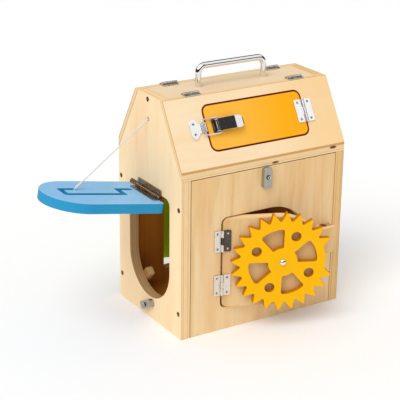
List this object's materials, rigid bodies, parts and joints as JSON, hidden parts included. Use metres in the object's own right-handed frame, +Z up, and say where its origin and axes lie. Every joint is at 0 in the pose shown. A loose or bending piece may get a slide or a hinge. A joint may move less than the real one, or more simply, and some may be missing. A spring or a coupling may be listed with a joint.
{
  "type": "activity house",
  "caption": "Plywood play house with hinged roof flaps, a latched roof window, three small doors, turn buttons, a toothed wheel lock and a carry handle.",
  "frame": {"origin": "centre of the house's footprint on the underside of its floor board", "axes": "+Z up, +X along the house to the right gable, -Y out of the front wall with the toothed wheel"},
  "size_m": [0.3855, 0.248, 0.3254],
  "materials": {
    "plywood": "clear satin lacquer on birch plywood",
    "orange_paint": "glossy orange paint",
    "yellow_paint": "satin yellow paint",
    "green_paint": "satin green paint",
    "blue_paint": "satin blue paint",
    "nickel": "nickel plated sheet steel",
    "dark_nickel": "darkened nickel plate",
    "button_metal": "matt grey zinc",
    "chrome": "polished chrome",
    "cotton": "twisted white cotton"
  },
  "bodies": {
    "house": {"left_gable": "plywood", "right_gable": "plywood", "front_wall": "plywood", "back_wall": "plywood", "floor_panel": "plywood", "top_board": "plywood", "carry_handle": "chrome", "catch_spacer": "plywood", "catch_lip": "plywood", "side_door_stop": "plywood", "side_hinge_gable_leaf": "dark_nickel", "front_door_upper_wall_leaf": "nickel", "front_door_lower_wall_leaf": "nickel", "back_door_upper_wall_leaf": "nickel", "back_door_lower_wall_leaf": "nickel", "front_left_hinge_top_leaf": "nickel", "front_right_hinge_top_leaf": "nickel", "back_left_hinge_top_leaf": "nickel", "back_right_hinge_top_leaf": "nickel", "front_turn_button_screw": "nickel", "back_turn_button_screw": "nickel", "back_door_button_screw": "nickel", "side_turn_button_screw": "nickel", "string": "cotton"},
    "front_flap": {"roof_front": "plywood", "front_left_hinge_flap_leaf": "nickel", "front_right_hinge_flap_leaf": "nickel", "window_hinge_roof_leaf": "nickel", "latch_strike": "nickel"},
    "back_flap": {"roof_back": "plywood", "back_left_hinge_flap_leaf": "nickel", "back_right_hinge_flap_leaf": "nickel"},
    "window": {"window_panel": "orange_paint", "window_hinge_pane_leaf": "nickel", "latch_base": "nickel"},
    "lever": {"latch_lever": "chrome"},
    "bail": {"latch_bail": "chrome"},
    "front_door": {"front_door": "plywood", "front_door_upper_door_leaf": "nickel", "front_door_lower_door_leaf": "nickel", "wheel_bolt": "chrome"},
    "wheel": {"wheel": "yellow_paint"},
    "back_door": {"back_door": "green_paint", "back_door_upper_door_leaf": "nickel", "back_door_lower_door_leaf": "nickel"},
    "side_door": {"side_door": "blue_paint", "side_hinge_door_leaf": "dark_nickel", "string_bead": "cotton"},
    "front_button": {"front_turn_button": "button_metal"},
    "back_button": {"back_turn_button": "button_metal"},
    "back_door_button": {"back_door_button": "button_metal"},
    "side_button": {"side_turn_button": "button_metal"}
  },
  "joints": [
    {"name": "front_flap_hinge", "type": "hinge", "parent": "house", "child": "front_flap", "pos_m": [0, -0.0264, 0.2975], "axis": [-1, 0, 0], "range_deg": [0, 140]},
    {"name": "back_flap_hinge", "type": "hinge", "parent": "house", "child": "back_flap", "pos_m": [0, 0.0264, 0.2975], "axis": [1, 0, 0], "range_deg": [0, 140]},
    {"name": "window_hinge", "type": "hinge", "parent": "front_flap", "child": "window", "pos_m": [0.07225, -0.05577, 0.26194], "axis": [0, 0.508, 0.8614], "range_deg": [0, 170]},
    {"name": "lever_hinge", "type": "hinge", "parent": "window", "child": "lever", "pos_m": [-0.0583, -0.05715, 0.26276], "axis": [0, -0.508, -0.8614], "range_deg": [0, 130]},
    {"name": "bail_hinge", "type": "hinge", "parent": "lever", "child": "bail", "pos_m": [-0.0541, -0.05689, 0.2626], "axis": [0, -0.508, -0.8614], "range_deg": [-130, 0]},
    {"name": "front_door_hinge", "type": "hinge", "parent": "house", "child": "front_door", "pos_m": [-0.0625, -0.0807, 0.092], "axis": [0, 0, -1], "range_deg": [-22, 88]},
    {"name": "wheel_spin", "type": "hinge", "parent": "front_door", "child": "wheel", "pos_m": [0.00704, -0.1088, 0.0917], "axis": [-0.3746, -0.9272, 0], "continuous": true},
    {"name": "back_door_hinge", "type": "hinge", "parent": "house", "child": "back_door", "pos_m": [0.0597, 0.0807, 0.092], "axis": [0, 0, -1], "range_deg": [-15, 155]},
    {"name": "side_door_hinge", "type": "hinge", "parent": "house", "child": "side_door", "pos_m": [-0.1228, 0, 0.1729], "axis": [0, 1, 0], "range_deg": [-100.64, 65], "deforming": ["string"]},
    {"name": "front_button_spin", "type": "hinge", "parent": "house", "child": "front_button", "pos_m": [0, -0.082, 0.19459], "axis": [0, -1, 0], "continuous": true},
    {"name": "back_button_spin", "type": "hinge", "parent": "house", "child": "back_button", "pos_m": [0, 0.082, 0.19459], "axis": [0, 1, 0], "continuous": true},
    {"name": "back_door_button_spin", "type": "hinge", "parent": "house", "child": "back_door_button", "pos_m": [-0.0675, 0.082, 0.089], "axis": [0, 1, 0], "continuous": true},
    {"name": "side_button_spin", "type": "hinge", "parent": "house", "child": "side_button", "pos_m": [-0.1235, 0.0004, 0.0182], "axis": [-1, 0, 0], "continuous": true}
  ],
  "couplings": [
    {"joint": "bail_hinge", "follows": "lever_hinge", "ratio": -1}
  ]
}
